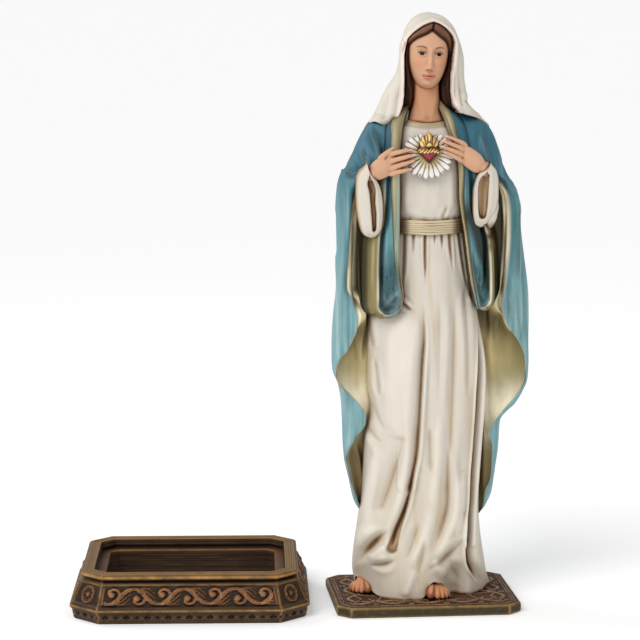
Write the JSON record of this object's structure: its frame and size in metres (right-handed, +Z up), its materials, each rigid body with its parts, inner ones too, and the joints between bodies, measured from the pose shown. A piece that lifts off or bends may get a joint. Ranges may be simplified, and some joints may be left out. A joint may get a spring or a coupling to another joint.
{
  "type": "religious statue with display plinth",
  "caption": "Standing veiled woman in a belted gown and long mantle, hands at a radiant heart, on a thin plate, with a loose scroll-moulded frame plinth beside it.",
  "frame": {"origin": "centre of the underside of the statue's own plate", "axes": "+Z up, the figure faces -Y, +X to the viewer's right along the plate's long edge"},
  "size_m": [0.2786, 0.1262, 0.356],
  "materials": {
    "painted_resin": "satin paint with a brown antique wash",
    "bronzed_resin": "dark bronze paint, edges rubbed gold"
  },
  "bodies": {
    "root": {"statue": "painted_resin", "plinth": "bronzed_resin"}
  },
  "joints": []
}
